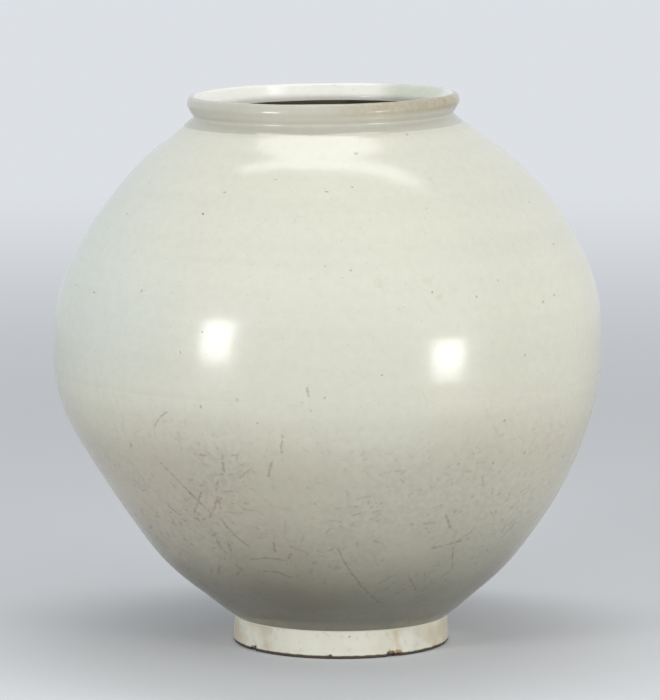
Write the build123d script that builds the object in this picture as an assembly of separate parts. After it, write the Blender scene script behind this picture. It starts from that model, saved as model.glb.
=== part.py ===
"""Korean moon jar: a large round porcelain storage jar on a low turned foot.

Two thrown bowls are set rim to rim and luted with slip at the belly. The mouth is
a short collar with a thick, everted lip, and the foot is a low turned ring. The
jar is a little lopsided, as such jars are: the foot stands off to one side of the
belly, and the mouth sits off centre and tilts.

Millimetres. Z is up from the table, and X is the way that the jar leans, with the
widest ring of the belly centred on X = 0. The front is towards -Y.
"""
from build123d import *
import math
import os

# Heights above the table
mouth_height = 410.0
belly_height = 222.0
foot_height = 21.0

# Radii, each about the middle of its own ring
belly_radius = 203.7
neck_radius = 95.8
foot_radius = 79.8

# Lean: how far the middle of a ring stands off the middle of the belly
foot_lean = 10.1
shoulder_lean = 2.3
mouth_lean = -3.0
mouth_tilt = 0.87

# Clay
belly_wall = 7.2
base_wall = 10.0
floor_thickness = 12.0
floor_curve_radius = 34.0

# Foot ring
foot_slip_thickness = 1.0
foot_flare = 0.5
foot_tread_width = 9.0
foot_root_width = 14.0
foot_bevel = 1.2
foot_inner_round = 2.5
base_ledge = 0.5
ceiling_rise = 2.0

# Belly joint, a little below the widest ring: a low ridge on the lower rim, a matching
# groove above, slip between them and a bead of it inside
joint_drop = 16.0
belly_slip_thickness = 1.6
ridge_height = 2.5
ridge_width = 4.8
bead_radius = 2.4
bead_clearance = 0.5

# Mouth: a collar that runs the shoulder on to the neck, an everted lip with a thick round
# edge, and inside it a funnel down to the throat
collar_height = 21.6
collar_flare = 7.3
collar_wall = 8.9
collar_bore_flare = 4.4
neck_slip_thickness = 2.4
shoulder_run_share = 1.33
lip_eversion = 5.3
lip_edge_drop = 6.2
lip_edge_taper = 1.5
lip_thickness = 5.4
funnel_drop = 8.6
throat_length = 4.2
neck_round = 1.9
funnel_round = 5.0
throat_round = 3.0
edge_round_share = 0.7
lip_outer_round_share = 0.7
lip_inner_round_share = 0.75

# How far a cutting solid runs past the clay that it cuts
overrun = 10.0

# Outline of each bowl, ring by ring: height share, radius share and lean share.
# In the lower bowl they run from the foot to the belly, in the upper from the belly
# to the collar.
lower_ring_shares = [
    (0.00, 0.000, 1.00),
    (0.06, 0.122, 0.93),
    (0.13, 0.262, 0.84),
    (0.21, 0.401, 0.76),
    (0.31, 0.529, 0.72),
    (0.43, 0.663, 0.68),
    (0.55, 0.779, 0.53),
    (0.67, 0.879, 0.29),
    (0.79, 0.955, 0.08),
    (0.90, 0.992, 0.00),
]
upper_ring_shares = [
    (0.00, 1.000, 0.00),
    (0.10, 0.996, 0.12),
    (0.20, 0.979, 0.21),
    (0.31, 0.933, 0.37),
    (0.43, 0.848, 0.62),
    (0.56, 0.725, 0.90),
    (0.69, 0.569, 0.99),
    (0.80, 0.409, 0.75),
    (0.90, 0.223, 0.38),
    (1.00, 0.000, 0.00),
]

# Sizes worked out from those above
joint_height = belly_height - joint_drop
collar_base_height = mouth_height - collar_height
neck_seat_height = collar_base_height - neck_slip_thickness
collar_base_radius = neck_radius + collar_flare
shoulder_end_radius = collar_base_radius + neck_slip_thickness * shoulder_run_share
throat_radius = neck_radius - collar_wall
bore_radius = throat_radius + collar_bore_flare
base_radius = foot_radius + base_ledge
floor_height = foot_height + floor_thickness
foot_root_height = foot_height - foot_slip_thickness
foot_root_bore = foot_radius - foot_root_width
mouth_place = Pos(mouth_lean, 0, collar_base_height) * Rot(0, -mouth_tilt, 0)


def between(start, end, share):
    """The value a share of the way from start to end."""
    return start + (end - start) * share


def outer_rings():
    """Height, radius and lean of each ring of the outside, from foot to collar."""
    rings = []
    for height_share, radius_share, lean_share in lower_ring_shares:
        height = between(foot_height, belly_height, height_share)
        radius = between(base_radius, belly_radius, radius_share)
        rings.append((height, radius, foot_lean * lean_share))
    for height_share, radius_share, lean_share in upper_ring_shares:
        height = between(belly_height, neck_seat_height, height_share)
        radius = between(shoulder_end_radius, belly_radius, radius_share)
        rings.append((height, radius, shoulder_lean * lean_share))
    return rings


def wall_at(height):
    """Thickness of the wall, which thins from the base up to the belly."""
    share = (height - foot_height) / (belly_height - foot_height)
    return between(base_wall, belly_wall, min(share, 1))


def inner_rings():
    """The outer rings moved in square to the wall, ending at the collar's bore."""
    outer = outer_rings()
    rings = []
    for place, (height, radius, lean) in enumerate(outer[:-1]):
        below = outer[max(place - 1, 0)]
        above = outer[place + 1]
        rise = above[0] - below[0]
        spread = above[1] - below[1]
        step = wall_at(height) / math.hypot(rise, spread)
        rings.append((height + step * spread, radius - step * rise, lean))
    rings.append((neck_seat_height, bore_radius, 0))
    return rings


def ring_face(height, radius, lean):
    """A level disc at one ring of the jar."""
    return Pos(lean, 0, height) * Circle(radius)


def ring_stack(rings):
    """One smooth closed solid through a stack of rings."""
    return loft([ring_face(*ring) for ring in rings])


def turned(points, lean=0):
    """A ring or disc turned about an upright axis from a closed outline."""
    outline = make_face(Polyline(*points, close=True))
    return Pos(lean, 0, 0) * revolve(Plane.XZ * outline, Axis.Z)


def jar_hollow():
    """The space inside the two bowls, with a level floor that curves into the wall."""
    space = ring_stack(inner_rings())
    widest = belly_radius + overrun
    below_floor = Pos(0, 0, floor_height) * Cylinder(
        widest, floor_height, align=(Align.CENTER, Align.CENTER, Align.MAX)
    )
    space = space - below_floor
    floor_edge = space.edges().group_by(Axis.Z)[0]
    space = fillet(floor_edge, floor_curve_radius)
    bore = Pos(0, 0, neck_seat_height) * Cylinder(
        bore_radius, overrun, align=(Align.CENTER, Align.CENTER, Align.MIN)
    )
    return space + bore


def joint_line(shift, start):
    """The outline of the belly joint, moved up by shift, from a start radius outwards."""
    face_height = joint_height + shift
    middle = joint_outer_radius() - wall_at(joint_height) / 2
    return [
        (start, face_height),
        (middle - ridge_width / 2, face_height),
        (middle, face_height + ridge_height),
        (middle + ridge_width / 2, face_height),
        (belly_radius + overrun, face_height),
    ]


def joint_side(shift, end_height):
    """All that lies on one side of the belly joint, whose face is moved up by shift."""
    far = belly_radius + overrun
    return turned(joint_line(shift, 0) + [(far, end_height), (0, end_height)])


def joint_outer_radius():
    """Radius of the outside at the belly joint."""
    share = (joint_height - foot_height) / (belly_height - foot_height)
    ring_below, ring_above = neighbours(share)
    step = (share - ring_below[0]) / (ring_above[0] - ring_below[0])
    return between(base_radius, belly_radius, between(ring_below[1], ring_above[1], step))


def neighbours(height_share):
    """The rings of the lower bowl's table just below and above a height share."""
    table = lower_ring_shares + [(1, 1, 0)]
    for below, above in zip(table, table[1:]):
        if height_share <= above[0]:
            return below, above
    return table[-2], table[-1]


def base_ceiling():
    """The shallow dome turned into the underside of the base, inside the foot."""
    dome_radius = (foot_root_bore ** 2 + ceiling_rise ** 2) / (2 * ceiling_rise)
    dome = Pos(foot_lean, 0, foot_height + ceiling_rise - dome_radius) * Sphere(dome_radius)
    slab = Pos(foot_lean, 0, foot_height) * Cylinder(
        foot_root_bore, ceiling_rise * 2, align=(Align.CENTER, Align.CENTER, Align.MIN)
    )
    return dome & slab


def lower_bowl(wall):
    """The lower thrown bowl, with the jar's floor and the ridge of the belly joint."""
    return (wall & joint_side(-belly_slip_thickness / 2, 0)) - base_ceiling()


def upper_bowl(wall):
    """The upper thrown bowl, with the groove of the belly joint and the shoulder."""
    return wall & joint_side(belly_slip_thickness / 2, mouth_height)


def belly_slip(body):
    """The slip in the belly joint, with the bead that squeezes out on the inside."""
    inner_face = joint_outer_radius() - wall_at(joint_height)
    bead_centre = inner_face - bead_clearance - bead_radius
    below = joint_line(-belly_slip_thickness / 2, bead_centre)
    above = joint_line(belly_slip_thickness / 2, bead_centre)
    bead = Pos(0, 0, joint_height) * Torus(bead_centre, bead_radius)
    return (turned(below + above[::-1]) + bead) & body


def foot_ring():
    """The turned foot: a bevelled tread, a faintly flared wall and a leaning bore."""
    tread_radius = foot_radius + foot_flare
    tread_bore = tread_radius - foot_tread_width
    outline = make_face(Polyline(
        (tread_radius - foot_bevel, 0),
        (tread_radius, foot_bevel),
        (foot_radius, foot_root_height),
        (foot_root_bore, foot_root_height),
        (tread_bore, 0),
        close=True,
    ))
    inner_corner = outline.vertices().sort_by_distance((tread_bore, 0))[0]
    outline = fillet(inner_corner, foot_inner_round)
    return Pos(foot_lean, 0, 0) * revolve(Plane.XZ * outline, Axis.Z)


def foot_slip():
    """The slip between the foot's root and the underside of the base."""
    return turned([
        (foot_root_bore, foot_root_height),
        (foot_radius, foot_root_height),
        (foot_radius, foot_height),
        (foot_root_bore, foot_height),
    ], foot_lean)


def neck_slip():
    """The slip under the collar, a wedge that takes up the mouth's lean and tilt."""
    seat = Pos(0, 0, neck_seat_height)
    outside = loft([seat * Circle(shoulder_end_radius), mouth_place * Circle(collar_base_radius)], ruled=True)
    inside = loft([seat * Circle(bore_radius), mouth_place * Circle(bore_radius)], ruled=True)
    return outside - inside


def mouth_rim():
    """The collar and the everted lip, turned from one outline and tilted."""
    neck = (neck_radius, collar_flare / shoulder_run_share)
    lip_edge = (neck_radius + lip_eversion, collar_height - lip_edge_drop)
    lip_outer = (lip_edge[0] - lip_edge_taper, collar_height)
    lip_inner = (lip_outer[0] - lip_thickness, collar_height)
    funnel = (throat_radius, collar_height - funnel_drop)
    throat = (throat_radius, funnel[1] - throat_length)
    outline = [(collar_base_radius, 0), neck, lip_edge, lip_outer, lip_inner, funnel, throat, (bore_radius, 0)]
    section = make_face(Polyline(*outline, close=True))
    for corner, rounding in (
        (neck, neck_round),
        (lip_edge, lip_edge_drop * edge_round_share),
        (lip_outer, lip_thickness * lip_outer_round_share),
        (lip_inner, lip_thickness * lip_inner_round_share),
        (funnel, funnel_round),
        (throat, throat_round),
    ):
        section = fillet(section.vertices().sort_by_distance(corner)[0], rounding)
    return mouth_place * revolve(Plane.XZ * section, Axis.Z)


def build_parts():
    """Every separate piece of the jar, by name."""
    body = ring_stack(outer_rings())
    wall = body - jar_hollow()
    return {
        "foot_ring": foot_ring(),
        "foot_slip": foot_slip(),
        "lower_bowl": lower_bowl(wall),
        "belly_slip": belly_slip(body),
        "upper_bowl": upper_bowl(wall),
        "neck_slip": neck_slip(),
        "mouth_rim": mouth_rim(),
    }


os.makedirs("parts", exist_ok=True)
for name, piece in build_parts().items():
    export_step(piece, f"parts/{name}.step")
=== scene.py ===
"""Looks of a Korean moon jar: a large, nearly round porcelain jar under an off-white glaze.

Each piece of the jar is turned here as a closed mesh over its solid: the two thrown bowls,
the everted mouth, the turned foot and the three layers of slip between them. The outsides
carry the potter's throwing rings and the slight unevenness of the kiln, and run on from
piece to piece. The glaze has its tone, crazing, pinholes, iron specks, scratches and stains.

Metres. Z is up from the table, and -Y is the front.
"""
import math

import bmesh
import bpy
from mathutils import Matrix, Vector, noise
from mathutils.bvhtree import BVHTree


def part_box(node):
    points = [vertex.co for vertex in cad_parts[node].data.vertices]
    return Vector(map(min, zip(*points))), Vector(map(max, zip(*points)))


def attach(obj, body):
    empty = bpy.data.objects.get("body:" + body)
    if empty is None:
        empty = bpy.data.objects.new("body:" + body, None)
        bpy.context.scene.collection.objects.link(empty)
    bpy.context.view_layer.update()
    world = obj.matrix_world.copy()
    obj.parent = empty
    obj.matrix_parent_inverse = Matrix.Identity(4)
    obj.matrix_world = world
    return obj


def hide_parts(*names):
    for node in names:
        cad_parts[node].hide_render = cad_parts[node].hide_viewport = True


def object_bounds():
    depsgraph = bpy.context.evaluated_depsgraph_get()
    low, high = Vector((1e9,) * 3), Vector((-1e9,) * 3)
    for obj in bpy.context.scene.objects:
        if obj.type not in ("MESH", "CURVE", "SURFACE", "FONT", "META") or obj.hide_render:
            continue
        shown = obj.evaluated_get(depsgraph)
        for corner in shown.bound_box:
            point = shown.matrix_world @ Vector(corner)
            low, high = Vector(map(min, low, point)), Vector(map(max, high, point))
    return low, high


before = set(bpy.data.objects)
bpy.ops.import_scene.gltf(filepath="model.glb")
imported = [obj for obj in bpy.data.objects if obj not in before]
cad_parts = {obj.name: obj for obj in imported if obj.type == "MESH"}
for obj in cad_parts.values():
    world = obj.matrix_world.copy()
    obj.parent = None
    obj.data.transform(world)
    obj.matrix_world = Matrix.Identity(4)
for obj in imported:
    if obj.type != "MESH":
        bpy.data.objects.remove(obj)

cad_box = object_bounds()
mm = 0.001

# The photograph's frame, in pixels, and the camera that fits it
photo_width = 660
photo_height = 700
camera_place = Vector((1.9, -3816.4, 729.8)) * mm
camera_aim = Vector((1.9, 0, 218.5)) * mm
camera_lens = 266.0
camera_sensor = 36.0

# Fineness of the turned meshes
bowl_steps = 360
mouth_steps = 480
foot_steps = 600
wedges = 12
row_gap = 1.5 * mm
inner_row_gap = 3 * mm
edge_row_gap = 0.7 * mm
foot_row_gap = 0.8 * mm
sample_gap = 9 * mm
sample_rays = 32
corner_steps = 8
bead_step = math.radians(20)
sharp_angle = math.radians(35)
edge_step = 0.05 * mm
merge_gap = 0.001 * mm
lining_index = 1

# Belly joint
ridge_height = 2.5 * mm
ridge_width = 4.8 * mm
seam_depth = 0.15 * mm
seam_width = 2.6 * mm
bead_radius = 2.4 * mm
bead_clearance = 0.5 * mm

# Mouth, in its own tilted frame: the everted lip's outline as radius, height and rounding
mouth_tilt = math.radians(0.87)
neck_slip_thickness = 2.4 * mm
lip_outline = [
    (95.8 * mm, 6.2 * mm, 1.9 * mm),
    (98.3 * mm, 9.6 * mm, 8.0 * mm),
    (101.2 * mm, 15.4 * mm, 4.3 * mm),
    (99.6 * mm, 21.6 * mm, 3.8 * mm),
    (94.2 * mm, 21.6 * mm, 4.0 * mm),
    (86.9 * mm, 13.0 * mm, 5.0 * mm),
    (86.9 * mm, 8.8 * mm, 3.0 * mm),
]
lining_height = 9.2 * mm
bore_probe_height = 2 * mm
lip_height = 21.6 * mm
lip_wave_height = 0.5 * mm
lip_wave_size = 45 * mm

# Foot
foot_flare = 0.5 * mm
foot_tread_width = 9 * mm
foot_root_width = 14 * mm
foot_bevel = 1.2 * mm
foot_inner_round = 2.5 * mm
recess_rise = 2.0 * mm
recess_step_share = 0.08
grit_height = 0.12 * mm
grit_size = 1.6 * mm

# The potter's hand: how far the outside strays from a true turned form
ring_height = 0.045 * mm
ring_spacing = 9 * mm
fine_ring_height = 0.012 * mm
fine_ring_spacing = 3.2 * mm
wobble_height = 0.30 * mm
wobble_size = 90 * mm
ripple_height = 0.035 * mm
ripple_size = 17 * mm

# Chips in the foot's lower edge: the pixel that shows each, and its size
foot_chips = [
    ((253, 647), 4.2 * mm),
    ((330, 656), 1.9 * mm),
    ((391, 654), 4.8 * mm),
    ((398, 653), 3.2 * mm),
]
chip_overhang_share = 0.35
chip_roughness_share = 0.3
chip_lump_share = 0.5

# Colours of the glaze, of what stains it, and of the shade and light painted on it
cream = (0.725, 0.718, 0.612)
warm_glaze = (0.648, 0.622, 0.505)
# Cool glaze, also painted on the left side as the bluish light that falls there
cool_glaze_and_light = (0.610, 0.690, 0.665)
# Thick glaze, whiter where it pools in the funnel, and painted brighter still as the sheen of the top
# light
thick_glaze_and_sheen = (0.970, 0.965, 0.900)
worn_glaze = (0.360, 0.325, 0.255)
# Painted shade: dark brown, for the jar's inside and for the underside towards the foot
painted_shade_brown = (0.270, 0.250, 0.185)
lip_glaze = (0.565, 0.555, 0.475)
# The foot's glaze, painted lighter than the bowls' as the light that falls on the foot's wall
foot_white_and_light = (0.820, 0.810, 0.700)
foot_buff = (0.640, 0.560, 0.400)
buff_glaze = (0.700, 0.600, 0.490)
# Painted shade: the dark brown of the jar's inside, where little light gets in
painted_inner_shade = (0.095, 0.070, 0.036)
craze_brown = (0.330, 0.270, 0.190)
scratch_brown = (0.230, 0.170, 0.115)
iron_brown = (0.020, 0.014, 0.010)
ochre = (0.520, 0.380, 0.180)
rust = (0.420, 0.210, 0.080)
rust_buff = (0.430, 0.340, 0.205)
cream_at_seam = (0.722, 0.714, 0.606)
# Bare clay, darkened further as the painted shadow under the foot's edge and in its chips
bare_clay_and_shade = (0.075, 0.055, 0.040)
pooled_green = (0.500, 0.570, 0.400)

# Glaze over all pieces: how much of each tint shows, and what its bands and mottling do
# to its shade. A range is where a value starts and ends, and what it goes from and to, and
# a noise is its scale, detail and roughness.
glaze_ior = 1.5
skin_noise = (420.0, 2.0)
skin_share = 0.14
bump_strength = 0.4
bump_depth = 0.4 * mm
cool_share = 0.10
buff_share = 0.06
buff_wear_share = 0.30
band_range = (0.3, 0.7, 0.985, 1.010)
mottle_range = (0.3, 0.7, 0.98, 1.015)
crack_net = {"scale": 30.0, "width": 0.010, "amount": 0.33}
crack_share = 0.22
pinhole_spread = {"scale": 80.0, "length": 0.0, "width": 1.4 * mm, "amount": 0.30}
pinhole_share = 0.40
speck_spread = {"scale": 24.0, "length": 1.2 * mm, "width": 2.2 * mm, "amount": 0.24}
speck_share = 0.55

# Scratches, dashes and flecks: how each kind is strewn, and how dark it is
scratch_kinds = (
    ({"scale": 44.0, "length": 20 * mm, "width": 2.0 * mm, "amount": 0.16}, 0.55),
    ({"scale": 68.0, "length": 11 * mm, "width": 2.8 * mm, "amount": 0.40}, 0.8),
    ({"scale": 115.0, "length": 3 * mm, "width": 3.6 * mm, "amount": 0.40}, 0.7),
)
scratch_shift = (0.7, 0.2, 0.4)
scratch_noise = (240.0, 2.0)
scratch_range = (0.32, 0.56)

# Strewn strokes: half the longest as a share of their length, and how much of half the
# width is dark throughout
stroke_reach_share = 0.7
stroke_core_share = 0.1

# Crazing: how its net bends, and where stretches of it show
crack_bend_noise = (45.0, 2.0)
crack_bend = 0.012
crack_patch_noise = (26.0, 3.0)
crack_patch_range = (0.9, 1.05)

# Single marks: how ragged their edges are, and what stands in for a spot's length squared
mark_noise = (320.0, 2.0)
mark_noise_range = (0.2, 0.8)
mark_ragged_share = 0.6
stain_ragged_share = 0.15
pit_ragged_share = 0.1
least_square = 1e-9

# Marks that the photograph shows, each as its pixels, half its width and its softness
iron_marks = [
    ([(202, 332)], 1.5 * mm, 0.5),
    ([(448, 119)], 0.8 * mm, 0.7),
    ([(203, 214)], 0.7 * mm, 0.8),
    ([(427, 208)], 0.6 * mm, 0.8),
]
brown_marks = [
    ([(498, 280)], 1.2 * mm, 0.9),
    ([(342, 278)], 0.8 * mm, 0.8),
    ([(325, 266)], 0.7 * mm, 0.8),
    ([(307, 389), (309, 396)], 1.5 * mm, 1.0),
    ([(325, 398)], 1.4 * mm, 1.0),
    ([(302, 403)], 1.2 * mm, 1.0),
    ([(311, 411)], 1.4 * mm, 1.0),
    ([(257, 423)], 1.2 * mm, 1.0),
    ([(237, 400)], 1.2 * mm, 1.0),
    ([(334, 440)], 1.2 * mm, 1.0),
    ([(307, 488)], 1.3 * mm, 1.0),
    ([(315, 504)], 1.4 * mm, 1.0),
    ([(155, 426), (160, 417), (167, 412)], 1.3 * mm, 1.0),
    ([(161, 463), (173, 475), (183, 486), (193, 496), (206, 509), (213, 514)], 1.4 * mm, 1.0),
    ([(221, 519), (228, 528), (239, 539), (248, 546)], 1.5 * mm, 1.0),
    ([(201, 493), (198, 501), (194, 513), (201, 523)], 1.5 * mm, 1.0),
    ([(217, 500), (213, 511), (209, 518)], 1.5 * mm, 1.0),
    ([(223, 463), (224, 471)], 1.5 * mm, 1.0),
    ([(131, 441), (131, 448)], 1.3 * mm, 1.0),
    ([(196, 455), (206, 455)], 1.4 * mm, 1.0),
    ([(216, 539), (221, 548)], 1.4 * mm, 1.0),
    ([(228, 543), (231, 551)], 1.5 * mm, 1.0),
    ([(282, 436), (281, 453)], 1.5 * mm, 1.0),
    ([(272, 461), (269, 476)], 1.5 * mm, 1.0),
    ([(274, 543), (275, 552)], 1.5 * mm, 1.0),
    ([(252, 559), (272, 558), (286, 561), (291, 554)], 1.4 * mm, 1.0),
    ([(264, 571), (277, 572), (289, 577), (298, 576)], 1.4 * mm, 1.0),
    ([(237, 565), (240, 569)], 1.6 * mm, 1.0),
    ([(338, 548), (343, 560), (350, 571), (358, 582), (368, 593), (382, 605)], 1.2 * mm, 0.9),
    ([(433, 548), (460, 541)], 1.4 * mm, 1.0),
    ([(453, 548), (452, 568)], 1.2 * mm, 1.0),
    ([(446, 515), (450, 528)], 1.5 * mm, 1.0),
    ([(407, 574), (416, 590)], 1.2 * mm, 1.0),
    ([(396, 594), (409, 586)], 1.2 * mm, 1.0),
    ([(430, 572), (428, 577)], 1.3 * mm, 1.0),
]
ochre_marks = [
    ([(380, 283)], 5.5 * mm, 1.0),
    ([(428, 280)], 5.0 * mm, 1.0),
    ([(438, 297)], 4.5 * mm, 1.0),
]
stain_marks = [
    ([(395, 633), (397, 642), (400, 650)], 4.2 * mm, 1.0),
]
rust_marks = [
    ([(391, 654), (399, 653)], 3.4 * mm, 0.8),
]
# Painted shadow in the chips of the foot's edge
chip_shade_marks = [
    ([(252, 647), (256, 648)], 2.4 * mm, 0.6),
    ([(330, 656)], 1.4 * mm, 0.6),
    ([(388, 654), (392, 654)], 2.2 * mm, 0.6),
]
pit_marks = [
    ([(356, 153)], 1.9 * mm, 0.9),
    ([(446, 119)], 1.2 * mm, 0.8),
]

# Tone of the glaze
cool_noise = (7.0, 3.0)
cool_range = (0.42, 0.68)
buff_shift = (0.31, 0.17, 0.53)
buff_noise = (13.0, 4.0, 0.6)
buff_range = (0.48, 0.72)
band_squash = (2.0, 2.0, 90.0)
band_noise = (1.0, 3.0, 0.6)
mottle_noise = (160.0, 3.0, 0.6)

# Glaze of the two bowls, by height on the jar and by place to the side
jar_roughness = 0.18
jar_roughness_range = (0.0, 1.0, 0.17, 0.44)
drift_noise = (9.0, 3.0)
drift_height = 50 * mm
worn_height_range = (212 * mm, 150 * mm)
# Painted shade under the belly: where the darkening starts, and where the glaze is fully darkened
under_shade_height_range = (125 * mm, 30 * mm)
# Painted light: the left side is tinted cool, as where bluish light falls on it
cool_light_side_range = (-70 * mm, -190 * mm)
cool_light_height_range = (170 * mm, 260 * mm)
cool_light_share = 0.55
belt_top_range = (214 * mm, 205 * mm)
belt_bottom_range = (196 * mm, 204 * mm)
belt_share = 0.10
wear_side_range = (50 * mm, -100 * mm, 0.65, 1.0)
wear_noise = (15.0, 3.0)
wear_range = (0.36, 0.60, 0.25, 1.0)
blotch_noise = (210.0, 2.0, 0.6)
blotch_range = (0.38, 0.62)
blotch_share = 0.26
clean_scratch_share = 0.06
scratch_share = 0.52
ochre_share = 0.15
brown_share = 0.36
worn_dent_share = 0.25
pit_dent_share = 0.5
crater_dent_share = 4.0
wear_roughness_share = 0.2

# Lining of the two bowls
lining_roughness = 0.4
lining_roughness_range = (0.0, 0.35, 0.3, 0.6)
dust_noise = (30.0, 4.0)
dust_range = (0.35, 0.7, 0.0, 0.35)
lining_squash = (2.0, 2.0, 120.0)
lining_noise = (1.0, 3.0)

# Glaze of the mouth, by height and radius in its own frame and by azimuth
mouth_roughness = 0.09
mouth_roughness_range = (0.0, 1.0, 0.09, 0.42)
mouth_wear = 0.2
funnel_radius_range = (97.5 * mm, 94.5 * mm)
funnel_height_range = (8.5 * mm, 10.0 * mm)
pool_azimuth = 127
pool_range = (0.88, 0.99)
pool_noise = (28.0, 2.0)
pool_noise_range = (0.15, 0.55, 0.5, 1.0)
pool_share = 0.60
edge_height_range = (10.5 * mm, 15.0 * mm)
edge_radius_range = (95.0 * mm, 98.5 * mm)
rust_azimuth = 50
rust_range = (0.55, 0.95)
rust_noise = (230.0, 4.0, 0.65)
rust_noise_range = (0.30, 0.62, 0.40, 1.0)
rust_end_azimuth = 72
rust_end_range = (0.90, 1.0, 0.62, 0.85)
rust_roughness_share = 0.35
rust_dent_share = 0.4

# Glaze of the foot
foot_roughness = 0.25
foot_roughness_range = (0.0, 1.0, 0.18, 0.8)
foot_wear = 0.4
foot_scratch_wear = 0.35
foot_scratch_share = 0.5
blush_noise = (30.0, 3.0)
blush_range = (0.42, 0.66)
blush_side_range = (10 * mm, 60 * mm, 0.15, 1.0)
stain_share = 0.42
rust_share = 0.85
bare_noise = (240.0, 3.0)
bare_ragged_height = 1.2 * mm
bare_height_range = (2.4 * mm, 1.4 * mm)

# Glaze over the luted joints
slip_roughness = 0.10
slip_roughness_range = (0.0, 1.0, 0.10, 0.42)
slip_wear = 0.1
seam_tint_range = (300 * mm, 210 * mm)
dirt_noise = (45.0, 3.0)
dirt_range = (0.50, 0.70, 0.0, 0.10)

# Floor and background
floor_radius = 40.0
floor_sides = 64
floor_colour = (0.74, 0.76, 0.79)
floor_bounce = (0.10, 0.105, 0.11)
floor_fade_range = (0.6, 3.5)
background = (0.72, 0.75, 0.79)

# Soft lobes of light in the studio: direction, strength, tightness and colour
lobes = [
    ((-90, 5), 0.38, 4.0, (0.92, 1.0, 1.04)),
    ((-45, 40), 0.12, 4.0, (1.0, 1.0, 1.0)),
    ((0, 40), 0.18, 4.0, (1.0, 1.0, 0.97)),
    ((24, 4), 0.52, 5.0, (1.0, 1.0, 0.97)),
    ((45, 8), 1.00, 4.0, (1.0, 1.0, 0.97)),
    ((45, 40), 0.12, 4.0, (1.0, 1.0, 1.0)),
    ((90, 5), 0.74, 4.0, (1.0, 1.0, 1.0)),
    ((150, 20), 0.50, 4.0, (1.0, 1.0, 1.0)),
    ((-150, 25), 0.50, 4.0, (0.97, 1.0, 1.02)),
]
ambient = (0.085, 0.087, 0.090)

# Softboxes: name, azimuth, elevation, distance, width, height, radiance and shape. Each is
# laid in a few sizes, as shares of its own, so that it dims towards its edges.
softboxes = [
    ("softbox_left", -44, 8, 1.6, 0.28, 0.50, 25.0, "RECTANGLE"),
    ("softbox_left_spill", -49, 10, 1.7, 0.80, 1.00, 1.3, "RECTANGLE"),
    ("softbox_right", 46.5, -1.5, 1.1, 0.19, 0.16, 29.0, "RECTANGLE"),
    ("softbox_right_spill", 49, 4, 1.3, 0.50, 0.55, 1.5, "RECTANGLE"),
    ("softbox_top", 172, 85, 1.3, 1.05, 0.21, 8.0, "ELLIPSE"),
]
softbox_shares = (0.60, 0.90, 1.30)
softbox_aim = Vector((0, 0, 240)) * mm


def tree_of(name):
    """A search tree over one of the jar's solids."""
    return BVHTree.FromObject(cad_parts[name], bpy.context.evaluated_depsgraph_get())


solids = {name: tree_of(name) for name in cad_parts}


def on_jar(pixel):
    """The point of the jar's solids that a pixel of the photograph shows."""
    view = (camera_aim - camera_place).to_track_quat("-Z", "Y")
    focal = camera_lens / camera_sensor * photo_height
    ray = Vector((pixel[0] - photo_width / 2, photo_height / 2 - pixel[1], -focal))
    direction = (view @ ray).normalized()
    hits = [solid.ray_cast(camera_place, direction) for solid in solids.values()]
    return min((hit for hit in hits if hit[0]), key=lambda hit: hit[3])[0]


def ring_at(name, height, inside=False):
    """Height, middle and radius of the level ring that a solid's wall makes there."""
    far = cad_box[1].x - cad_box[0].x

    def wall(middle, angle):
        outward = Vector((math.cos(angle), math.sin(angle), 0))
        centre = Vector((middle, 0, height))
        if inside:
            return solids[name].ray_cast(centre, outward)[3]
        return far - solids[name].ray_cast(centre + outward * far, -outward)[3]

    middle = (wall(0, 0) - wall(0, math.pi)) / 2
    walls = [wall(middle, math.tau * turn / sample_rays) for turn in range(sample_rays)]
    return height, middle, sum(walls) / sample_rays


def spread(low, high, gap):
    """Values from low to high, both counted, evenly spread and no further apart than a gap."""
    count = max(1, math.ceil((high - low) / gap))
    return [low + (high - low) * step / count for step in range(count + 1)]


# Heights, radii and rings measured on the solids
foot_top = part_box("foot_ring")[1].z
foot_middle = (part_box("foot_ring")[0].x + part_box("foot_ring")[1].x) / 2
tread_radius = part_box("foot_ring")[1].x - foot_middle
foot_radius = tread_radius - foot_flare
recess_radius = foot_radius - foot_root_width
base_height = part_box("foot_slip")[1].z
joint_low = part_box("lower_bowl")[1].z - ridge_height
joint_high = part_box("upper_bowl")[0].z
seam_height = (joint_low + joint_high) / 2
seam_inner_radius = ring_at("lower_bowl", joint_low - edge_step, inside=True)[2]
neck_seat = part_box("upper_bowl")[1].z
down = Vector((0, 0, -1))
floor_height = solids["lower_bowl"].ray_cast(Vector((foot_middle, 0, seam_height)), down)[0].z
collar_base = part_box("mouth_rim")[1].y
bore_radius = ring_at("mouth_rim", neck_seat + neck_slip_thickness + bore_probe_height, inside=True)[2]
mouth_middle = Vector((
    (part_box("mouth_rim")[0].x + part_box("mouth_rim")[1].x) / 2, 0, neck_seat + neck_slip_thickness
))
mouth_place = Matrix.Translation(mouth_middle) @ Matrix.Rotation(-mouth_tilt, 4, "Y")
outside = [
    ring_at(name, height)
    for name, low, high in (
        ("lower_bowl", base_height, joint_low), ("upper_bowl", joint_high, neck_seat)
    )
    for height in spread(low + edge_step, high - edge_step, sample_gap)
]


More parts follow.
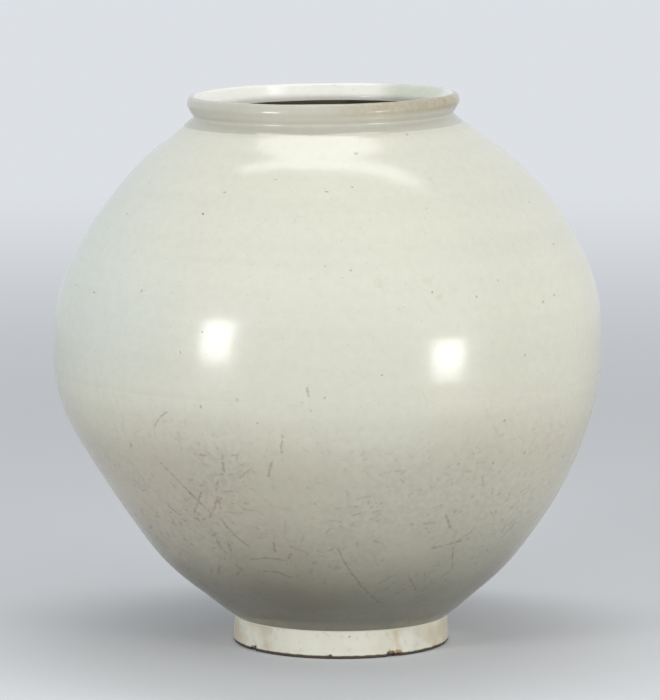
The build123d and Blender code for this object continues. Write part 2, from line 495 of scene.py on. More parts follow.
def outside_at(height):
    """Middle and radius of the jar's outside at a height, on a smooth curve."""
    last = len(outside) - 2
    place = next((i for i in range(last) if height < outside[i + 1][0]), last)
    start, end = outside[place], outside[place + 1]
    before = outside[max(place - 1, 0)]
    after = outside[min(place + 2, last + 1)]
    span = end[0] - start[0]
    share = (height - start[0]) / span
    found = []
    for k in (1, 2):
        leaving = (end[k] - before[k]) / (end[0] - before[0]) * span
        arriving = (after[k] - start[k]) / (after[0] - start[0]) * span
        found.append(
            (2 * share ** 3 - 3 * share ** 2 + 1) * start[k]
            + (share ** 3 - 2 * share ** 2 + share) * leaving
            + (3 * share ** 2 - 2 * share ** 3) * end[k]
            + (share ** 3 - share ** 2) * arriving
        )
    return found


def lean_at(height):
    """How far the jar's middle stands off to the side at a height."""
    return outside_at(height)[0]


def rounded(corners):
    """The outline through (radius, height, rounding) corners, as (radius, height) points."""
    points = []
    for place, (radius, height, rounding) in enumerate(corners):
        corner = Vector((radius, height))
        if not rounding:
            points.append(corner)
            continue
        before = (Vector(corners[place - 1][:2]) - corner).normalized()
        after = (Vector(corners[(place + 1) % len(corners)][:2]) - corner).normalized()
        half = before.angle(after) / 2
        middle = corner + (before + after).normalized() * rounding / math.sin(half)
        start = corner + before * rounding / math.tan(half) - middle
        end = corner + after * rounding / math.tan(half) - middle
        sweep = start.angle(end) / 2
        for step in range(corner_steps + 1):
            turn = sweep * (2 * step / corner_steps - 1)
            share = (1 + math.tan(turn) / math.tan(sweep)) / 2
            points.append(middle + start.lerp(end, share).normalized() * rounding)
    return points


def divided(points, gap):
    """A closed outline with points added until none lie further apart than the gap."""
    finer = []
    for start, end in zip(points, points[1:] + points[:1]):
        count = max(1, math.ceil((end - start).length / gap))
        finer += [start.lerp(end, step / count) for step in range(count)]
    return finer


def potters_hand(co):
    """How far the outside stands proud of its true form at a point."""
    around = Vector((co.x, co.y, 0)).normalized()
    rings = noise.noise(Vector((around.x, around.y, co.z / ring_spacing))) * ring_height
    fine = noise.noise(Vector((around.x, around.y, co.z / fine_ring_spacing))) * fine_ring_height
    wobble = noise.noise(co / wobble_size) * wobble_height
    ripple = noise.noise(co / ripple_size) * ripple_height
    seam = math.exp(-((co.z - seam_height) / seam_width) ** 2) * seam_depth
    return rings + fine + wobble + ripple - seam


def turned(outline, steps, closed=True):
    """A mesh turned about the Z axis from (radius, height, skin) points, wedge by wedge.

    A point's skin is the share of the potter's hand that it takes: one on the outside
    and none within the wall."""
    mesh = bmesh.new()
    skin = mesh.verts.layers.float.new("skin")
    verts = []
    for radius, height, share in outline:
        verts.append(mesh.verts.new((radius, 0, height)))
        verts[-1][skin] = share
    edges = [mesh.edges.new(pair) for pair in zip(verts, verts[1:])]
    if closed:
        edges.append(mesh.edges.new((verts[-1], verts[0])))
    wedge = math.tau / wedges
    bmesh.ops.spin(
        mesh, geom=verts + edges, cent=(0, 0, 0), axis=(0, 0, 1), angle=wedge,
        steps=steps // wedges, use_duplicate=False,
    )
    bmesh.ops.spin(
        mesh, geom=mesh.verts[:] + mesh.edges[:] + mesh.faces[:], cent=(0, 0, 0), axis=(0, 0, 1),
        angle=math.tau - wedge, steps=wedges - 1, use_duplicate=True,
    )
    bmesh.ops.remove_doubles(mesh, verts=mesh.verts, dist=merge_gap)
    bmesh.ops.recalc_face_normals(mesh, faces=mesh.faces)
    return mesh


def leaning(mesh, lean):
    """Leans a turned mesh, by the lean at each height, and gives its skin the hand."""
    skin = mesh.verts.layers.float["skin"]
    for vert in mesh.verts:
        outward = Vector((vert.co.x, vert.co.y, 0)).normalized()
        vert.co.x += lean(vert.co.z)
        if vert[skin]:
            vert.co += outward * potters_hand(vert.co) * vert[skin]
    return mesh


def lined(mesh, lowest):
    """Gives the inside of a bowl, above its floor, the second material."""
    skin = mesh.verts.layers.float["skin"]
    for face in mesh.faces:
        on_skin = any(vert[skin] for vert in face.verts)
        if not on_skin and face.calc_center_median().z > lowest:
            face.material_index = lining_index
    return mesh


def finished(name, mesh, node, slot, *materials):
    """Makes a mesh the piece that stands for a solid, smooth but for its sharp edges."""
    for face in mesh.faces:
        face.smooth = True
    for edge in mesh.edges:
        edge.smooth = edge.calc_face_angle() < sharp_angle
    data = bpy.data.meshes.new(name)
    mesh.to_mesh(data)
    mesh.free()
    for material in materials:
        data.materials.append(material)
    piece = bpy.data.objects.new(name, data)
    bpy.context.scene.collection.objects.link(piece)
    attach(piece, "root")
    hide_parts(node)


def skin_rows(low, high):
    """Points of the jar's outside from one height to another."""
    return [(outside_at(height)[1], height, 1) for height in spread(low, high, row_gap)]


def ridge_points(height):
    """The ridge of the belly joint in a face at a height, from the outside in."""
    middle = (outside_at(seam_height)[1] + seam_inner_radius) / 2
    return [
        (middle + ridge_width / 2, height, 0),
        (middle, height + ridge_height, 0),
        (middle - ridge_width / 2, height, 0),
    ]


def lower_bowl(material, lining):
    """The lower bowl, from its floor over the joint and down to the recess in the foot."""
    depth = joint_low - edge_step - floor_height
    shares = spread(0, 1, inner_row_gap / depth)[1:]
    inside = [ring_at("lower_bowl", floor_height + depth * share ** 2, inside=True) for share in shares]
    outline = [(0, floor_height, 0)]
    outline += [(radius, height, 0) for height, middle, radius in inside]
    outline += ridge_points(joint_low)[::-1]
    outline += skin_rows(base_height, joint_low)[::-1]
    outline += [
        (recess_radius * share, base_height + recess_rise * (1 - share ** 2), 0)
        for share in spread(0, 1, recess_step_share)[::-1]
    ]
    mesh = lined(turned(outline, bowl_steps, closed=False), floor_height - edge_step)
    mesh = leaning(mesh, lean_at)
    finished("lower_bowl_glazed", mesh, "lower_bowl", "white_glaze", material, lining)


def upper_bowl(material, lining):
    """The upper bowl, from the joint to the seat of the neck."""
    heights = spread(joint_high + edge_step, neck_seat - edge_step, inner_row_gap)
    inside = [ring_at("upper_bowl", height, inside=True) for height in heights]
    outline = skin_rows(joint_high, neck_seat)
    outline += [(radius, height, 0) for height, middle, radius in inside[::-1]]
    outline += ridge_points(joint_high)[::-1]
    mesh = leaning(lined(turned(outline, bowl_steps), floor_height), lean_at)
    finished("upper_bowl_glazed", mesh, "upper_bowl", "white_glaze", material, lining)


def belly_slip(material, lining):
    """The slip that lutes the bowls, with its bead squeezed out on the inside."""
    bead_middle = seam_inner_radius - bead_clearance - bead_radius
    opening = math.asin((joint_high - joint_low) / 2 / bead_radius)
    outline = skin_rows(joint_low, joint_high)
    outline += ridge_points(joint_high)
    for turn in spread(opening, math.tau - opening, bead_step):
        across = bead_radius * math.cos(turn)
        up = bead_radius * math.sin(turn)
        outline.append((bead_middle + across, seam_height + up, 0))
    outline += ridge_points(joint_low)[::-1]
    mesh = leaning(lined(turned(outline, bowl_steps), floor_height), lean_at)
    finished("belly_slip_seam", mesh, "belly_slip", "porcelain_slip", material, lining)


def neck_slip(material, lining):
    """The wedge of slip that takes up the mouth's lean and tilt."""
    seat_radius = outside_at(neck_seat)[1]
    bowl_face, collar_face = 0, 1
    between = (bowl_face + collar_face) / 2
    mesh = turned([
        (seat_radius, bowl_face, 1),
        (collar_base, collar_face, 1),
        (bore_radius, collar_face, 0),
        (bore_radius, bowl_face, 0),
    ], mouth_steps)
    mesh = lined(mesh, bowl_face)
    skin = mesh.verts.layers.float["skin"]
    for vert in mesh.verts:
        outward = Vector((vert.co.x, vert.co.y, 0)).normalized()
        on_collar = vert.co.z > between
        vert.co.z = 0 if on_collar else neck_seat
        if on_collar:
            vert.co = mouth_place @ vert.co
        vert.co += outward * potters_hand(vert.co) * vert[skin]
    finished("neck_slip_seam", mesh, "neck_slip", "porcelain_slip", material, lining)


def mouth_rim(material, lining):
    """The collar and its everted lip, turned true and then tilted."""
    outline = divided(
        rounded([(collar_base, 0, 0)] + lip_outline + [(bore_radius, 0, 0)]), edge_row_gap
    )
    mesh = turned([(point.x, point.y, 1) for point in outline], mouth_steps)
    for face in mesh.faces:
        middle = face.calc_center_median()
        if middle.z < lining_height and middle.xy.length < bore_radius + edge_step:
            face.material_index = lining_index
    for vert in mesh.verts:
        outward = Vector((vert.co.x, vert.co.y, 0)).normalized()
        rise = max(vert.co.z, 0) / lip_height
        vert.co = mouth_place @ vert.co
        wave = noise.noise(vert.co / lip_wave_size) * lip_wave_height * rise
        vert.co += outward * potters_hand(vert.co)
        vert.co.z += wave
    finished("mouth_rim_everted", mesh, "mouth_rim", "white_glaze", material, lining)


def foot_slip(material):
    """The slip between the foot's root and the base."""
    corners = [
        (recess_radius, foot_top, 0),
        (foot_radius, foot_top, 1),
        (foot_radius, base_height, 1),
        (recess_radius, base_height, 0),
    ]
    mesh = leaning(turned(corners, foot_steps), lambda height: foot_middle)
    finished("foot_slip_seam", mesh, "foot_slip", "porcelain_slip", material)


def scooped(co, centre, size):
    """A point pushed out of a chip, which is a rough ball bitten out of the edge."""
    away = co - centre
    rough = size * (1 + noise.noise(co / (size * chip_lump_share)) * chip_roughness_share)
    return centre + away.normalized() * rough if away.length < rough else co


def foot_ring(material):
    """The turned foot, gritty on its bare tread and chipped along the edge."""
    outline = divided(rounded([
        (tread_radius, 0, foot_bevel),
        (foot_radius, foot_top, 0),
        (recess_radius, foot_top, 0),
        (tread_radius - foot_tread_width, 0, foot_inner_round),
    ]), foot_row_gap)
    chips = []
    for pixel, size in foot_chips:
        seen = on_jar(pixel)
        outward = Vector((seen.x - foot_middle, seen.y, 0)).normalized()
        centre = Vector((foot_middle, 0, 0)) + outward * (tread_radius + size * chip_overhang_share)
        chips.append((centre, size))
    mesh = turned([(point.x, point.y, 1) for point in outline], foot_steps)
    mesh = leaning(mesh, lambda height: foot_middle)
    for vert in mesh.verts:
        if vert.co.z < foot_bevel:
            vert.co.z += abs(noise.noise(vert.co / grit_size)) * grit_height
        for centre, size in chips:
            vert.co = scooped(vert.co, centre, size)
    finished("foot_ring_turned", mesh, "foot_ring", "foot_glaze", material)


def node(tree, kind, values=None, **settings):
    """A shader node with its settings, and its inputs given values or links."""
    made = tree.nodes.new("ShaderNode" + kind)
    for key, value in settings.items():
        setattr(made, key, value)
    for key, value in (values or {}).items():
        if isinstance(value, bpy.types.NodeSocket):
            tree.links.new(value, made.inputs[key])
        else:
            made.inputs[key].default_value = value
    return made


def maths(tree, operation, *values):
    """The result of a Math node."""
    return node(tree, "Math", dict(enumerate(values)), operation=operation).outputs[0]


def times(tree, *values):
    """The product of several values."""
    found = values[0]
    for value in values[1:]:
        found = maths(tree, "MULTIPLY", found, value)
    return found


def vectors(tree, operation, *values):
    """The vector that a Vector Math node gives."""
    return node(tree, "VectorMath", dict(enumerate(values)), operation=operation).outputs[0]


def measure(tree, operation, *values):
    """The number that a Vector Math node gives, such as a length or a dot product."""
    return node(tree, "VectorMath", dict(enumerate(values)), operation=operation).outputs["Value"]


def scaled(tree, vector, share):
    """A vector made longer or shorter."""
    return node(tree, "VectorMath", {0: vector, 3: share}, operation="SCALE").outputs[0]


def stepped(tree, value, start, end, low=0.0, high=1.0):
    """A value eased from low to high as it goes from start to end."""
    values = {"Value": value, "From Min": start, "From Max": end, "To Min": low, "To Max": high}
    return node(tree, "MapRange", values, interpolation_type="SMOOTHSTEP").outputs[0]


def mixed(tree, share, first, second, blend="MIX"):
    """Two colours mixed."""
    values = {0: share, 6: first, 7: second}
    return node(tree, "Mix", values, data_type="RGBA", blend_type=blend).outputs[2]


def noisy(tree, place, scale, detail=2.0, roughness=0.5):
    """Soft noise between nought and one at a point."""
    values = {"Vector": place, "Scale": scale, "Detail": detail, "Roughness": roughness}
    return node(tree, "TexNoise", values).outputs[0]


def effect(name, inputs, outputs):
    """An empty node group with named inputs and outputs, and its two end nodes."""
    tree = bpy.data.node_groups.new(name, "ShaderNodeTree")
    for side, sockets in (("INPUT", inputs), ("OUTPUT", outputs)):
        for socket, kind in sockets.items():
            tree.interface.new_socket(socket, in_out=side, socket_type="NodeSocket" + kind)
    return tree, tree.nodes.new("NodeGroupInput").outputs, tree.nodes.new("NodeGroupOutput").inputs


def placed(tree, group, **values):
    """A node group placed in a material with its own values, and its outputs."""
    made = tree.nodes.new("ShaderNodeGroup")
    made.node_tree = group
    for key, value in values.items():
        key = key.replace("_", " ").capitalize()
        if isinstance(value, bpy.types.NodeSocket):
            tree.links.new(value, made.inputs[key])
        else:
            made.inputs[key].default_value = value
    return made.outputs


def strokes_effect():
    """Short straight strokes strewn over a surface, one to a cell, or dots at no length."""
    inputs = {"Place": "Vector", "Facing": "Vector", "Scale": "Float", "Length": "Float",
              "Width": "Float", "Amount": "Float"}
    tree, given, result = effect("strewn strokes", inputs, {"Mask": "Float"})
    cell = node(tree, "TexVoronoi", {"Vector": given["Place"], "Scale": given["Scale"]}).outputs
    offset = vectors(tree, "SUBTRACT", given["Place"], cell["Position"])
    flat = vectors(tree, "PROJECT", offset, given["Facing"])
    offset = vectors(tree, "SUBTRACT", offset, flat)
    chance = vectors(tree, "SUBTRACT", cell["Color"], (0.5, 0.5, 0.5))
    chance = vectors(tree, "SUBTRACT", chance, vectors(tree, "PROJECT", chance, given["Facing"]))
    direction = vectors(tree, "NORMALIZE", chance)
    along = measure(tree, "DOT_PRODUCT", offset, direction)
    luck = node(tree, "TexWhiteNoise", {"Vector": cell["Position"]}, noise_dimensions="3D").outputs
    share = node(tree, "SeparateColor", {0: luck["Color"]}).outputs["Green"]
    reach = times(tree, given["Length"], share, stroke_reach_share)
    beyond = maths(tree, "SUBTRACT", maths(tree, "ABSOLUTE", along), reach)
    beyond = maths(tree, "MAXIMUM", beyond, 0.0)
    across = vectors(tree, "CROSS_PRODUCT", offset, direction)
    across = measure(tree, "LENGTH", across)
    squares = [maths(tree, "POWER", part, 2.0) for part in (across, beyond)]
    gap = maths(tree, "SQRT", maths(tree, "ADD", *squares))
    half = maths(tree, "DIVIDE", given["Width"], 2.0)
    mask = stepped(tree, gap, half, times(tree, half, stroke_core_share))
    kept = maths(tree, "LESS_THAN", luck["Value"], given["Amount"])
    tree.links.new(times(tree, mask, kept), result["Mask"])
    return tree


def mark_effect():
    """One mark: a ragged soft line from one point to another, or a spot where they meet."""
    inputs = {"Place": "Vector", "Start": "Vector", "End": "Vector", "Size": "Float",
              "Softness": "Float", "Roughness": "Float"}
    tree, given, result = effect("single mark", inputs, {"Mask": "Float"})
    offset = vectors(tree, "SUBTRACT", given["Place"], given["Start"])
    span = vectors(tree, "SUBTRACT", given["End"], given["Start"])
    square = maths(tree, "MAXIMUM", measure(tree, "DOT_PRODUCT", span, span), least_square)
    share = maths(tree, "DIVIDE", measure(tree, "DOT_PRODUCT", offset, span), square)
    share = maths(tree, "MINIMUM", maths(tree, "MAXIMUM", share, 0.0), 1.0)
    gap = measure(tree, "DISTANCE", offset, scaled(tree, span, share))
    gap = maths(tree, "ADD", gap, times(tree, given["Roughness"], given["Size"]))
    inner = times(tree, given["Size"], maths(tree, "SUBTRACT", 1.0, given["Softness"]))
    tree.links.new(stepped(tree, gap, given["Size"], inner), result["Mask"])
    return tree


def crazing_effect():
    """The fine net of cracks in a glaze, broken up so that only stretches of it show."""
    inputs = {"Place": "Vector", "Scale": "Float", "Width": "Float", "Amount": "Float"}
    tree, given, result = effect("crazing", inputs, {"Mask": "Float"})
    scale, detail = crack_bend_noise
    bend = node(tree, "TexNoise", {"Vector": given["Place"], "Scale": scale, "Detail": detail})
    bend = scaled(tree, bend.outputs["Color"], crack_bend)
    bent = vectors(tree, "ADD", given["Place"], bend)
    net = node(tree, "TexVoronoi", {"Vector": bent, "Scale": given["Scale"]}, feature="DISTANCE_TO_EDGE")
    lines = stepped(tree, net.outputs["Distance"], given["Width"], 0.0)
    patches = noisy(tree, given["Place"], *crack_patch_noise)
    ends = [maths(tree, "SUBTRACT", end, given["Amount"]) for end in crack_patch_range]
    tree.links.new(times(tree, lines, stepped(tree, patches, *ends)), result["Mask"])
    return tree


def tone_effect():
    """Where the glaze lies thick and cool, where it is thin and buff, and its throwing bands."""
    inputs = {"Place": "Vector"}
    outputs = {"Cool": "Float", "Buff": "Float", "Bands": "Float", "Mottle": "Float"}
    tree, given, result = effect("glaze tone", inputs, outputs)
    cool = stepped(tree, noisy(tree, given["Place"], *cool_noise), *cool_range)
    moved = vectors(tree, "ADD", given["Place"], buff_shift)
    buff = stepped(tree, noisy(tree, moved, *buff_noise), *buff_range)
    bands = noisy(tree, vectors(tree, "MULTIPLY", given["Place"], band_squash), *band_noise)
    mottle = noisy(tree, given["Place"], *mottle_noise)
    for name, value in (("Cool", cool), ("Buff", buff), ("Bands", bands), ("Mottle", mottle)):
        tree.links.new(value, result[name])
    return tree


strokes = strokes_effect()
mark = mark_effect()
crazing = crazing_effect()
tone = tone_effect()


def largest(tree, masks):
    """The strongest of several masks at each point."""
    found = masks[0]
    for mask in masks[1:]:
        found = maths(tree, "MAXIMUM", found, mask)
    return found


def marks_of(tree, place, kind, ragged=mark_ragged_share):
    """The mask of all marks of a kind: each runs through pixels of the photograph."""
    masks = []
    rough = stepped(tree, noisy(tree, place, *mark_noise), *mark_noise_range, -ragged, ragged)
    for pixels, size, softness in kind:
        points = [on_jar(pixel) for pixel in pixels]
        for start, end in zip(points, points[1:] or points):
            masks.append(placed(
                tree, mark, place=place, start=start, end=end, size=size,
                softness=softness, roughness=rough,
            )["Mask"])
    return largest(tree, masks)


def tinted(tree, share, colour, tint):
    """A colour with a share of a plain tint over it."""
    return mixed(tree, share, colour, (*tint, 1))


def glaze(tree, place, base, wear):
    """The glaze that all pieces share over a base colour, with where it faces and its pits."""
    facing = node(tree, "NewGeometry").outputs["Normal"]
    tones = placed(tree, tone, place=place)
    colour = tinted(tree, times(tree, tones["Cool"], cool_share), base, cool_glaze_and_light)
    share = maths(tree, "ADD", times(tree, wear, buff_wear_share), buff_share)
    colour = tinted(tree, times(tree, tones["Buff"], share), colour, buff_glaze)
    bands = stepped(tree, tones["Bands"], *band_range)
    shade = times(tree, bands, stepped(tree, tones["Mottle"], *mottle_range))
    shade = node(tree, "CombineColor", {0: shade, 1: shade, 2: shade}).outputs[0]
    colour = mixed(tree, 1.0, colour, shade, "MULTIPLY")
    cracks = placed(tree, crazing, place=place, **crack_net)["Mask"]
    pinholes = placed(tree, strokes, place=place, facing=facing, **pinhole_spread)["Mask"]
    specks = placed(tree, strokes, place=place, facing=facing, **speck_spread)["Mask"]
    colour = tinted(tree, times(tree, cracks, crack_share), colour, craze_brown)
    colour = tinted(tree, times(tree, pinholes, pinhole_share), colour, craze_brown)
    colour = tinted(tree, times(tree, specks, speck_share), colour, scratch_brown)
    return colour, facing, maths(tree, "MAXIMUM", pinholes, specks)


def scratched(tree, place, facing, wear):
    """Scratches, dashes and flecks worn into a glaze, by how worn it is."""
    masks = []
    for turn, (spread_out, depth) in enumerate(scratch_kinds):
        shift = (scratch_shift[0] * turn, scratch_shift[1], scratch_shift[2])
        moved = vectors(tree, "ADD", place, shift)
        found = placed(tree, strokes, place=moved, facing=facing, **spread_out)["Mask"]
        masks.append(times(tree, found, depth))
    broken = stepped(tree, noisy(tree, place, *scratch_noise), *scratch_range)
    return times(tree, largest(tree, masks), broken, wear)


def material_of(name, roughness):
    """A new material with its shader, and the point being shaded."""
    made = bpy.data.materials.new(name)
    made.use_nodes = True
    tree = made.node_tree
    shader = tree.nodes["Principled BSDF"]
    shader.inputs["Roughness"].default_value = roughness
    shader.inputs["IOR"].default_value = glaze_ior
    return made, tree, shader, node(tree, "TexCoord").outputs["Object"]


def surfaced(tree, shader, colour, roughness, dents, place):
    """Links a glaze's colour and roughness to the shader, and its dents as bumps."""
    skin = times(tree, noisy(tree, place, *skin_noise), skin_share)
    height = maths(tree, "SUBTRACT", skin, dents)
    bump = node(tree, "Bump", {"Height": height, "Strength": bump_strength, "Distance": bump_depth})
    tree.links.new(colour, shader.inputs["Base Color"])
    tree.links.new(roughness, shader.inputs["Roughness"])
    tree.links.new(bump.outputs[0], shader.inputs["Normal"])


def jar_glaze():
    """The glaze of the two bowls: clean above the belly, scratched and stained below it, with painted
    shade that darkens it towards the foot and a painted cool light on its left side.
    """
    made, tree, shader, place = material_of("white_glaze", jar_roughness)
    spot = node(tree, "SeparateXYZ", {0: place}).outputs
    drift = maths(tree, "SUBTRACT", noisy(tree, place, *drift_noise), 0.5)
    height = maths(tree, "ADD", spot["Z"], times(tree, drift, drift_height))
    low = stepped(tree, height, *worn_height_range)
    base = mixed(tree, low, (*cream, 1), (*warm_glaze, 1))
    # Painted shade: the underside darkens towards the foot
    base = tinted(tree, stepped(tree, height, *under_shade_height_range), base, painted_shade_brown)
    # Painted light: a cool tint on the left side, where bluish light falls
    cool = stepped(tree, spot["X"], *cool_light_side_range)
    cool = times(tree, cool, stepped(tree, height, *cool_light_height_range), cool_light_share)
    base = tinted(tree, cool, base, cool_glaze_and_light)
    belt = stepped(tree, height, *belt_top_range)
    belt = times(tree, belt, stepped(tree, height, *belt_bottom_range), belt_share)
    base = tinted(tree, belt, base, warm_glaze)
    patches = stepped(tree, noisy(tree, place, *wear_noise), *wear_range)
    wear = times(tree, low, patches, stepped(tree, spot["X"], *wear_side_range))
    blotches = stepped(tree, noisy(tree, place, *blotch_noise), *blotch_range)
    base = tinted(tree, times(tree, blotches, wear, blotch_share), base, worn_glaze)
    colour, facing, pits = glaze(tree, place, base, wear)
    marked = maths(tree, "ADD", times(tree, wear, 1 - clean_scratch_share), clean_scratch_share)
    scratches = scratched(tree, place, facing, marked)
    colour = tinted(tree, times(tree, scratches, scratch_share), colour, scratch_brown)
    browns = marks_of(tree, place, brown_marks)
    ochres = times(tree, marks_of(tree, place, ochre_marks), ochre_share)
    colour = tinted(tree, ochres, colour, ochre)
    colour = tinted(tree, times(tree, browns, brown_share), colour, scratch_brown)
    colour = tinted(tree, marks_of(tree, place, iron_marks), colour, iron_brown)
    worn = times(tree, maths(tree, "MAXIMUM", scratches, browns), worn_dent_share)
    craters = marks_of(tree, place, pit_marks, ragged=pit_ragged_share)
    craters = times(tree, craters, crater_dent_share)
    dents = largest(tree, [worn, times(tree, pits, pit_dent_share), craters])
    rough = maths(tree, "MAXIMUM", worn, times(tree, wear, wear_roughness_share))
    surfaced(tree, shader, colour, stepped(tree, rough, *jar_roughness_range), dents, place)
    return made


def inner_glaze():
    """The lining inside, painted dark brown as the shade within the jar, lighter in dusty patches."""
    made, tree, shader, place = material_of("inner_glaze", lining_roughness)
    dust = stepped(tree, noisy(tree, place, *dust_noise), *dust_range)
    # Painted shade: the inside is coloured dark brown, lighter in patches
    colour = mixed(tree, dust, (*painted_inner_shade, 1), (*painted_shade_brown, 1))
    rings = noisy(tree, vectors(tree, "MULTIPLY", place, lining_squash), *lining_noise)
    surfaced(tree, shader, colour, stepped(tree, dust, *lining_roughness_range), rings, place)
    return made


def toward(azimuth, elevation):
    """The direction to an azimuth right of the front, and an elevation."""
    turn = math.radians(azimuth)
    rise = math.radians(elevation)
    level = Vector((math.sin(turn), -math.cos(turn), 0)) * math.cos(rise)
    return level + Vector((0, 0, math.sin(rise)))


def mouth_glaze():
    """The glaze of the mouth: worn to rust-brown along the lip, pooled green inside, and thick in the
    funnel inside the lip, where it is painted near white as a sheen of the top light.
    """
    made, tree, shader, place = material_of("mouth_glaze", mouth_roughness)
    upright = Matrix.Rotation(mouth_tilt, 3, "Y")
    local = node(tree, "Mapping", {
        "Vector": place, "Location": -(upright @ mouth_middle), "Rotation": (0, mouth_tilt, 0)
    }).outputs[0]
    height = node(tree, "SeparateXYZ", {0: local}).outputs["Z"]
    level = vectors(tree, "MULTIPLY", local, (1.0, 1.0, 0.0))
    radius = measure(tree, "LENGTH", level)
    around = vectors(tree, "NORMALIZE", level)

    def near(azimuth, bounds):
        """How near a point lies to an azimuth on the mouth."""
        return stepped(tree, measure(tree, "DOT_PRODUCT", around, toward(azimuth, 0)), *bounds)

    # The funnel inside the lip: thick glaze with a painted sheen, near white
    funnel = stepped(tree, radius, *funnel_radius_range)
    funnel = times(tree, funnel, stepped(tree, height, *funnel_height_range))
    base = mixed(tree, funnel, (*lip_glaze, 1), (*thick_glaze_and_sheen, 1))
    uneven = stepped(tree, noisy(tree, place, *pool_noise), *pool_noise_range)
    pool = times(tree, near(pool_azimuth, pool_range), uneven, funnel, pool_share)
    base = tinted(tree, pool, base, pooled_green)
    colour, facing, pits = glaze(tree, place, base, mouth_wear)
    edge = stepped(tree, height, *edge_height_range)
    edge = times(tree, edge, stepped(tree, radius, *edge_radius_range))
    grain = stepped(tree, noisy(tree, place, *rust_noise), *rust_noise_range)
    worn = times(tree, near(rust_azimuth, rust_range), edge, grain)
    share = times(tree, worn, near(rust_end_azimuth, rust_end_range))
    colour = tinted(tree, share, colour, rust_buff)
    rough = maths(tree, "MAXIMUM", pits, times(tree, worn, rust_roughness_share))
    dents = maths(tree, "MAXIMUM", pits, times(tree, worn, rust_dent_share))
    surfaced(tree, shader, colour, stepped(tree, rough, *mouth_roughness_range), dents, place)
    return made


def foot_glaze():
    """The glaze of the foot: thin and buff in places, painted lighter than the bowls as light on its
    wall, and bare and burnt along the tread, with painted shadow under its edge and in its chips.
    """
    made, tree, shader, place = material_of("foot_glaze", foot_roughness)
    spot = node(tree, "SeparateXYZ", {0: place}).outputs
    blush = stepped(tree, noisy(tree, place, *blush_noise), *blush_range)
    aside = maths(tree, "ABSOLUTE", maths(tree, "SUBTRACT", spot["X"], foot_middle))
    blush = times(tree, blush, stepped(tree, aside, *blush_side_range))
    # Painted light: the foot's white is lighter than the bowls' cream
    base = mixed(tree, blush, (*foot_white_and_light, 1), (*foot_buff, 1))
    colour, facing, pits = glaze(tree, place, base, foot_wear)
    scratches = scratched(tree, place, facing, foot_scratch_wear)
    colour = tinted(tree, times(tree, scratches, foot_scratch_share), colour, scratch_brown)
    stain = marks_of(tree, place, stain_marks, ragged=stain_ragged_share)
    colour = tinted(tree, times(tree, stain, stain_share), colour, ochre)
    rusty = times(tree, marks_of(tree, place, rust_marks), rust_share)
    colour = tinted(tree, rusty, colour, rust)
    # The bare edge is bare clay, darkened as painted shadow under the foot, and the chips get painted
    # shadow
    ragged = times(tree, noisy(tree, place, *bare_noise), bare_ragged_height)
    edge = stepped(tree, maths(tree, "SUBTRACT", spot["Z"], ragged), *bare_height_range)
    bare = maths(tree, "MAXIMUM", edge, marks_of(tree, place, chip_shade_marks))
    colour = tinted(tree, bare, colour, bare_clay_and_shade)
    dents = times(tree, pits, pit_dent_share)
    surfaced(tree, shader, colour, stepped(tree, bare, *foot_roughness_range), dents, place)
    return made


def slip_glaze():
    """The glaze over a luted joint, level with the bowls on either side of it."""
    made, tree, shader, place = material_of("slip_glaze", slip_roughness)
    height = node(tree, "SeparateXYZ", {0: place}).outputs["Z"]
    base = mixed(tree, stepped(tree, height, *seam_tint_range), (*cream, 1), (*cream_at_seam, 1))
    colour, facing, pits = glaze(tree, place, base, slip_wear)
    dirt = stepped(tree, noisy(tree, place, *dirt_noise), *dirt_range)
    colour = tinted(tree, dirt, colour, craze_brown)
    surfaced(tree, shader, colour, stepped(tree, pits, *slip_roughness_range), pits, place)
    return made


def seen_ray(tree):
    """One for the rays that show the background: to the camera, mirrored or through glass."""
    rays = node(tree, "LightPath").outputs
    kinds = ("Is Camera Ray", "Is Glossy Ray", "Is Transmission Ray")
    return largest(tree, [rays[kind] for kind in kinds])


def stage():
    """A plain pale floor that fades into the background."""
    floor_data = bpy.data.meshes.new("floor")
    mesh = bmesh.new()
    bmesh.ops.create_circle(mesh, cap_ends=True, segments=floor_sides, radius=floor_radius)
    mesh.to_mesh(floor_data)
    mesh.free()
    floor = bpy.data.objects.new("floor", floor_data)
    bpy.context.scene.collection.objects.link(floor)
    made = bpy.data.materials.new("pale_floor")
    made.use_nodes = True
    tree = made.node_tree
    tree.nodes.clear()
    seen = seen_ray(tree)
    colour = mixed(tree, seen, (*floor_bounce, 1), (*floor_colour, 1))
    lit = node(tree, "BsdfDiffuse", {"Color": colour}).outputs[0]
    flat = node(tree, "Emission", {"Color": (*background, 1), "Strength": 1.0}).outputs[0]
    away = measure(tree, "LENGTH", node(tree, "TexCoord").outputs["Object"])
    far = times(tree, stepped(tree, away, *floor_fade_range), seen)
    shown = node(tree, "MixShader", {0: far, 1: lit, 2: flat}).outputs[0]
    ending = node(tree, "OutputMaterial")
    tree.links.new(shown, ending.inputs["Surface"])
    floor_data.materials.append(made)


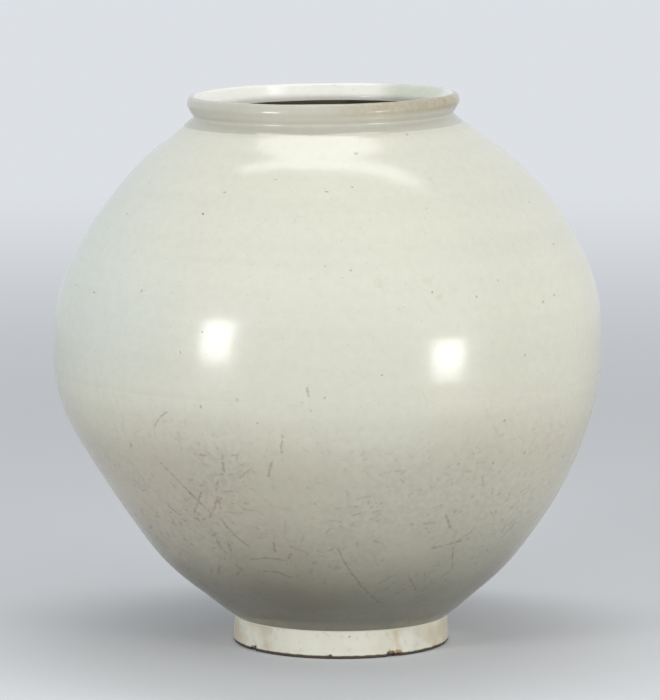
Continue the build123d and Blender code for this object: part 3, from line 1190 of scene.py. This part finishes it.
def softbox(name, azimuth, elevation, distance, width, height, radiance, shape):
    """A softbox facing the middle of the jar, brighter in its middle than at its edges."""
    for share in softbox_shares:
        data = bpy.data.lights.new(name, "AREA")
        data.shape = shape
        data.size = width * share
        data.size_y = height * share
        data.energy = radiance / len(softbox_shares) * data.size * data.size_y * math.pi
        lamp = bpy.data.objects.new(name, data)
        lamp.location = softbox_aim + toward(azimuth, elevation) * distance
        lamp.rotation_mode = "QUATERNION"
        lamp.rotation_quaternion = toward(azimuth, elevation).to_track_quat("Z", "Y")
        lamp.visible_camera = False
        bpy.context.scene.collection.objects.link(lamp)


def studio():
    """The world: soft light in a few wide lobes, and the plain background for the camera."""
    world = bpy.data.worlds.new("studio")
    bpy.context.scene.world = world
    world.use_nodes = True
    tree = world.node_tree
    tree.nodes.clear()
    direction = node(tree, "TexCoord").outputs["Generated"]
    light = (*ambient, 1)
    for (azimuth, elevation), strength, tightness, colour in lobes:
        facing = measure(tree, "DOT_PRODUCT", direction, toward(azimuth, elevation))
        lobe = maths(tree, "POWER", maths(tree, "MAXIMUM", facing, 0.0), tightness)
        lobe = times(tree, lobe, strength)
        parts = {k: times(tree, lobe, colour[k]) for k in range(3)}
        tint = node(tree, "CombineColor", parts).outputs[0]
        light = mixed(tree, 1.0, light, tint, "ADD")
    shown = mixed(tree, seen_ray(tree), light, (*background, 1))
    sky = node(tree, "Background", {"Color": shown, "Strength": 1.0})
    ending = node(tree, "OutputWorld")
    tree.links.new(sky.outputs[0], ending.inputs["Surface"])


def camera():
    """The camera at the photograph's angle."""
    data = bpy.data.cameras.new("camera")
    data.lens = camera_lens
    data.sensor_width = camera_sensor
    seen = bpy.data.objects.new("camera", data)
    seen.location = camera_place
    seen.rotation_mode = "QUATERNION"
    seen.rotation_quaternion = (camera_aim - camera_place).to_track_quat("-Z", "Y")
    bpy.context.scene.collection.objects.link(seen)
    bpy.context.scene.camera = seen


camera()
studio()
stage()
for box in softboxes:
    softbox(*box)
bpy.context.scene.view_settings.view_transform = "Standard"

body_glaze = jar_glaze()
lining = inner_glaze()
seam_glaze = slip_glaze()
foot_ring(foot_glaze())
foot_slip(seam_glaze)
lower_bowl(body_glaze, lining)
belly_slip(seam_glaze, lining)
upper_bowl(body_glaze, lining)
neck_slip(seam_glaze, lining)
mouth_rim(mouth_glaze(), lining)
